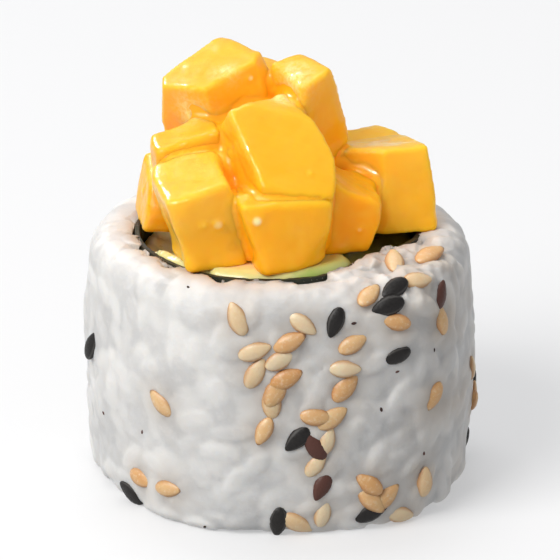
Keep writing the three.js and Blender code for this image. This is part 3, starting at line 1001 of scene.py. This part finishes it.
graph.surface(
    Base_Color=graph.mix(greener.maths("MINIMUM", greener, 1.0), flesh, (0.335, 0.470, 0.085)),
    Roughness=graph.spread(mottle, 0.3, 0.7, 0.26, 0.42),
    Subsurface_Weight=0.4,
    Subsurface_Radius=(1.0, 0.8, 0.25),
    Subsurface_Scale=1.5 * MM,
    Coat_Weight=0.3,
    Coat_Roughness=0.12,
    Normal=graph.bump(mottle * 0.6 + smear * 0.4, 0.4, 0.15 * MM),
)


def copy_of(node, name):
    """A solid's own mesh with its loose triangles joined up."""
    shape = bmesh.new()
    shape.from_mesh(frame["nodes"][node].data)
    bmesh.ops.remove_doubles(shape, verts=shape.verts, dist=0.001 * MM)
    return mesh_of(shape, name)


def gathered(meshes):
    """The points and faces of several meshes as those of one."""
    points, faces = [], []
    for mesh in meshes:
        faces += [[len(points) + i for i in face.vertices] for face in mesh.polygons]
        points += [v.co for v in mesh.vertices]
    return points, faces


def tree_of_all(meshes):
    return BVHTree.FromPolygons(*gathered(meshes))


def meeting(mesh, solids, number, soft_within, firm, firm_within, otherwise, even):
    """How far soft flesh swells at each point, half way to its soft neighbours and all the way to what
    is firm, where they are near enough, and how much it touches them there."""
    others = tree_of_all(solids[:number] + solids[number + 1 :])
    swells, touches = np.full(len(mesh.vertices), otherwise), np.zeros(len(mesh.vertices))
    for vertex in mesh.vertices:
        for neighbours, within, share in ((others, soft_within, 0.5), (firm, firm_within, 1.0)):
            _, facing, _, gap = neighbours.ray_cast(vertex.co, vertex.normal, within)
            if gap is not None and facing.dot(vertex.normal) < -0.4:
                swells[vertex.index] = share * gap + 0.03 * MM
                touches[vertex.index] = 1
                break
    return evened(mesh, swells, even), evened(mesh, touches, TOUCHES_EVENED)


STICKS = [f"avocado_{where}" for where in ("front", "left", "right", "back")]
TOUCHES_EVENED = 60  # how often what touches is evened out over the skin
STICK_EVENED = 8  # how often a stick's swelling is
STICK_SMOOTHINGS = 4
STICK_MEETS_WITHIN = 2.2 * MM
SQUEEZED_UP = {"avocado_front": 0.45 * MM}  # soft flesh stands a little above its own cut
SHRED = (Vector((-12.6, -6.2, 0)) * MM, Vector((-7.4, -11.6, 0)) * MM)  # left standing by the knife
SHRED_HEIGHT = 2.5 * MM
SHRED_WIDTH = 1.25 * MM
stick_solids = [copy_of(node, node) for node in STICKS]
nori_tree = tree_of(nori_mesh)


def off_shred(point):
    start, end = SHRED
    flat = Vector((point.x, point.y, 0))
    along = clipped((flat - start).dot(end - start) / (end - start).length_squared)
    return (flat - start - along * (end - start)).length


for number, node in enumerate(STICKS):
    stick_mesh = melted(stick_solids[number].copy(), AVOCADO_VOXEL, STICK_SMOOTHINGS, f"{node}_stick")
    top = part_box(node)[1].z
    near_by = (STICK_MEETS_WITHIN, nori_tree, STICK_MEETS_WITHIN)
    swells, _ = meeting(stick_mesh, stick_solids, number, *near_by, 0.0, STICK_EVENED)

    def softened(vertex):
        """Pressed against its neighbours, with slight dents, and uneven on the cut face."""
        dent = 0.10 * MM * wave(vertex.co, 2.6 * MM) + 0.04 * MM * wave(vertex.co, 0.9 * MM)
        upper = eased((vertex.co.z - top + 2.5 * MM) / (2 * MM))
        raised = SQUEEZED_UP.get(node, 0) + 0.22 * MM * wave(vertex.co, 4 * MM, 2.0)
        if node == "avocado_left":
            raised += SHRED_HEIGHT * bell(off_shred(vertex.co), SHRED_WIDTH)
        return vertex.co + (swells[vertex.index] + dent) * vertex.normal + Vector((0, 0, raised * upper))

    settle(stick_mesh, softened)
    stand_for(stick_mesh, f"{node}_stick", avocado_finish, "avocado", node)


# ---- Mango. Ripe flesh cut into dice and short sticks with a knife, then tumbled: soft, wet and
# partly clear, so light goes through the edges. They press flat against each other where they touch.
# Each die is its own piece, with rounded corners, a few dents and the flesh's fine fibres. ----
DICE = [f"mango_{number:02d}" for number in range(1, 16)]
MANGO_VOXEL = 0.22 * MM
MANGO_SWELL = 0.18 * MM
MEETS_DICE_WITHIN = 2.2 * MM  # a die swells to meet other dice that are this near
SINKS_WITHIN = 1.3 * MM  # and sinks on to what lies under it where that is this near
MANGO_LIP = 0.15 * MM  # and is pushed out this far round the places where they touch
MANGO_EVENED = 36  # how often its swelling is evened out over its skin
# how often each die's skin is smoothed: few times where its edges are crisp, many where they are worn
SMOOTHINGS = [26, 50, 22, 8, 30, 20, 14, 6, 30] + 6 * [9]
mango_finish, graph = new_finish("mango_flesh")
place = graph.place()
ripe = graph.attribute("ripe")
clouds = graph.noise(place, 170.0, 2.0, 0.45, 0.6)
fibres = graph.noise(graph.stretched((260, 1500, 420), (0.4, 0.3, 0.9)), 1.0, 3.0, 0.55)
pores = graph.noise(place, 1300.0, 3.0, 0.6)
# deeper orange where the flesh is riper, and painted shade where the dice touch, on their sides and low down
flesh = graph.ramp(
    ripe * 0.70 + clouds * 0.35 - 0.03,
    (0.10, (1.000, 0.530, 0.045)),
    (0.50, (1.000, 0.430, 0.012)),
    (0.95, (1.000, 0.330, 0.002)),
)
streaked = graph.mix(graph.spread(fibres, 0.45, 0.75, 0.0, 0.22), flesh, (1.0, 0.54, 0.05))
# pale fibrous flesh and painted sheen where faces catch the window, rougher there
frosted = graph.attribute("frosted")
grit = graph.noise(place, 2100.0, 2.0, 0.6)
milky_and_painted_sheen = graph.mix(frosted * graph.spread(grit, 0.35, 0.65, 0.25, 0.8), streaked, (1.0, 0.78, 0.36))
# painted glints: near-white spots on the beads of juice, which are also glossier
beaded = graph.attribute("beaded")
painted_glinting = graph.mix(graph.spread(beaded, 0.25, 0.80, 0.0, 0.85), milky_and_painted_sheen, (1.0, 0.93, 0.72))
wet = graph.spread(graph.noise(place, 230.0, 2.0), 0.52, 0.66)
graph.surface(
    Base_Color=painted_glinting,
    Roughness=graph.spread(pores, 0.3, 0.7, 0.30, 0.44),
    Specular_IOR_Level=0.12,
    Subsurface_Weight=0.9,
    Subsurface_Radius=(1.0, 0.75, 0.20),
    Subsurface_Scale=1.8 * MM,
    Coat_Weight=wet * 0.45 + beaded * 0.35 + 0.18,
    Coat_Roughness=0.09,
    Normal=graph.bump(fibres * 0.6 + pores * (wet * 0.8 + 0.15) + grit * frosted * 1.6, 0.22, 0.16 * MM),
)

juice_finish, graph = new_finish("mango_juice")
# the juice takes the flesh's ripeness and painted shade from the nearest die
graph.surface(
    Base_Color=graph.ramp(
        graph.attribute("ripe"),
        (0.1, (1.000, 0.500, 0.030)),
        (0.5, (1.000, 0.420, 0.012)),
        (1.0, (1.000, 0.320, 0.002)),
    ),
    Roughness=0.32,
    Specular_IOR_Level=0.12,
    Subsurface_Weight=0.5,
    Subsurface_Radius=(1.0, 0.85, 0.45),
    Subsurface_Scale=1.0 * MM,
    Coat_Weight=0.35,
    Coat_Roughness=0.12,
    Normal=graph.bump(graph.noise(graph.place(), 700.0, 2.0), 0.2, 0.12 * MM),
)

FACE_WITHIN = math.cos(math.radians(9))  # faces that lean less than this apart make one cut
FACE_APART = math.cos(math.radians(20))
LEAST_CUT = 0.03  # a cut is at least this share of the die's skin
# corners that broke off in the heap: which way each looked, and how much of the die went with it
BROKEN = {
    "mango_06": (0.25 * RIGHT + 0.9 * UP_IN_VIEW + 0.35 * TO_CAMERA, 1.5 * MM),
    "mango_02": (0.75 * RIGHT - 0.6 * UP_IN_VIEW + 0.3 * TO_CAMERA, 1.5 * MM),
}
DIE_BOX_FACES = [(0, 1, 3, 2), (4, 6, 7, 5), (0, 4, 5, 1), (2, 3, 7, 6), (0, 2, 6, 4), (1, 5, 7, 3)]


def knife_cuts(mesh):
    """The directions in which the die's flat faces look, the largest first."""
    left = [(face.normal.copy(), face.area) for face in mesh.polygons]
    whole = sum(area for _, area in left)
    cuts = []
    while left:
        def shared(direction):
            return sum(area for normal, area in left if normal.dot(direction) > FACE_WITHIN)

        chosen = max((normal for normal, _ in left), key=shared)
        if shared(chosen) < LEAST_CUT * whole:
            break
        close = [normal * area for normal, area in left if normal.dot(chosen) > FACE_WITHIN]
        cuts.append(sum(close, Vector()).normalized())
        left = [(normal, area) for normal, area in left if normal.dot(chosen) <= FACE_APART]
    return cuts


def freshly_cut(node, name):
    """The die as the knife left it: its flat faces run on until they meet in edges."""
    solid = copy_of(node, name)
    points = [v.co for v in solid.vertices]
    low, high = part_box(node)
    corners = [(x, y, z) for x in (low.x, high.x) for y in (low.y, high.y) for z in (low.z, high.z)]
    shape = bmesh.new()
    made = [shape.verts.new(corner) for corner in corners]
    for face in DIE_BOX_FACES:
        shape.faces.new([made[i] for i in face])
    cuts = [(direction, 0) for direction in knife_cuts(solid)]
    if node in BROKEN:
        direction, depth = BROKEN[node]
        cuts.append((direction.normalized(), depth))
    for direction, depth in cuts:
        reach = max(point.dot(direction) for point in points) - depth
        cut = {"plane_co": direction * reach, "plane_no": direction, "clear_outer": True}
        bmesh.ops.bisect_plane(shape, geom=shape.verts[:] + shape.edges[:] + shape.faces[:], **cut)
        bmesh.ops.holes_fill(shape, edges=[edge for edge in shape.edges if edge.is_boundary])
    bmesh.ops.recalc_face_normals(shape, faces=shape.faces)
    shape.to_mesh(solid)
    shape.free()
    return solid


cut_dice = [freshly_cut(node, node) for node in DICE]
heap_tree = tree_of_all(cut_dice)
stick_meshes = [piece.data for piece in bpy.data.objects if piece.name.endswith("_stick")]
under_tree = tree_of_all([rice_mesh] + stick_meshes)
# rough pale places with a painted sheen, and beads of juice with a painted glint, as pixel places and a size
# in millimetres
FROSTED_AND_SHEEN = [(213.5, 282.5, 1.9), (246.0, 272.0, 2.1), (241.5, 279.5, 1.5), (224.0, 270.0, 1.2)]
BEADS = [
    (234.3, 319.4, 0.55), (231.0, 312.2, 0.55), (221.2, 320.2, 0.60), (216.4, 320.6, 0.44),
    (197.2, 309.6, 0.44), (241.6, 279.0, 0.42), (248.4, 271.0, 0.44), (213.6, 284.0, 0.60),
    (232.0, 271.8, 0.36), (262.4, 297.8, 0.34), (252.0, 304.0, 0.30), (268.4, 322.0, 0.34),
]
BEAD_HEIGHT = 0.55  # of its own radius
# dice cut from riper and from firmer parts of the fruit than most
RIPER = {"mango_01": -0.20, "mango_02": 0.28, "mango_03": 0.40, "mango_04": -0.10}
JUICE_VOXEL = 0.30 * MM
JUICE_SMOOTHINGS = 60
JUICE_BELOW = 0.08 * MM  # away from the creases the juice lies this far inside the dice
RIPE_AND_SHADE_EVERY = 6  # every sixth point of a die tells the juice how ripe the flesh is there and how much shade is painted on it


def on_heap(x, y, size):
    hit, _, _, _ = heap_tree.ray_cast(*photo_ray(x, y))
    return hit, size * MM


frosted_and_sheen_places = [on_heap(*spot) for spot in FROSTED_AND_SHEEN]
beads = [on_heap(*bead) for bead in BEADS]
heap_only = bpy.data.collections.new("mango_heap")  # what the two fills below shine on
soft_dice, ripe_and_shade_points = [], []

for number, node in enumerate(DICE):
    draw = random.Random(100 + number)
    die_mesh = melted(cut_dice[number].copy(), MANGO_VOXEL, SMOOTHINGS[number], f"{node}_die")
    shift = draw.uniform(0, 50)
    near_by = (MEETS_DICE_WITHIN, under_tree, SINKS_WITHIN)
    swells, touches = meeting(die_mesh, cut_dice, number, *near_by, MANGO_SWELL, MANGO_EVENED)
    lips = [4 * MANGO_LIP * touch * (1 - touch) for touch in touches]
    low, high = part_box(node)
    tall = high.z - low.z

    def softened(vertex):
        """Swollen with juice until it meets its neighbours, with soft dents and beads of juice."""
        dent = 0.18 * MM * wave(vertex.co, 3.4 * MM, shift) + 0.05 * MM * wave(vertex.co, 1.1 * MM, shift)
        for at, size in beads:
            if at and (at - vertex.co).length < 2 * size:
                dent += BEAD_HEIGHT * size * bell((at - vertex.co).length, size)
        return vertex.co + (swells[vertex.index] + lips[vertex.index] + dent) * vertex.normal

    def near(places, point):
        return min(1, sum(bell((at - point).length, size) for at, size in places if at))

    settle(die_mesh, softened)
    tint = 0.36 * draw.random() + RIPER.get(node, 0)
    # ripeness by chance and by where in the fruit the die was cut, with painted shade added where it touches
    # others, on its sides and towards its bottom
    ripeness_and_shade = [
        tint + 0.40 * touches[v.index] + 0.20 * (1 - v.normal.z) / 2 + 0.25 * (high.z - v.co.z) / tall
        for v in die_mesh.vertices
    ]
    store(die_mesh, "ripe", ripeness_and_shade)
    store(die_mesh, "frosted", [near(frosted_and_sheen_places, v.co) for v in die_mesh.vertices])
    store(die_mesh, "beaded", [near(beads, v.co) for v in die_mesh.vertices])
    soft_dice.append(die_mesh)
    ripe_and_shade_points += list(zip(die_mesh.vertices, ripeness_and_shade))[::RIPE_AND_SHADE_EVERY]
    heap_only.objects.link(stand_for(die_mesh, f"{node}_die", mango_finish, "mango", node))

# juice gathers in the creases where the dice meet, and rounds them off
dice_mesh = bpy.data.meshes.new("dice_together")
points, faces = gathered(soft_dice)
dice_mesh.from_pydata(points, [], faces)
juice_mesh = melted(dice_mesh, JUICE_VOXEL, JUICE_SMOOTHINGS, "juice")
settle(juice_mesh, lambda vertex: vertex.co - JUICE_BELOW * vertex.normal)
ripe_and_shade_tree = nearest_among([vertex.co for vertex, _ in ripe_and_shade_points])
store(juice_mesh, "ripe", [ripe_and_shade_points[ripe_and_shade_tree.find(v.co)[1]][1] for v in juice_mesh.vertices])
heap_only.objects.link(stand_for(juice_mesh, "mango_juice", juice_finish, "mango"))

# the heap is lit from all round, as wet fruit that lets light through is
for name, azimuth, power in (("heap_fill", -50, 2.9), ("heap_fill_behind", 130, 1.6)):
    fill = soft_light(name, azimuth, 8, distance=0.9, size=0.5, power=power, colour=(1.0, 0.97, 0.90))
    fill.visible_glossy = False
    fill.light_linking.receiver_collection = heap_only
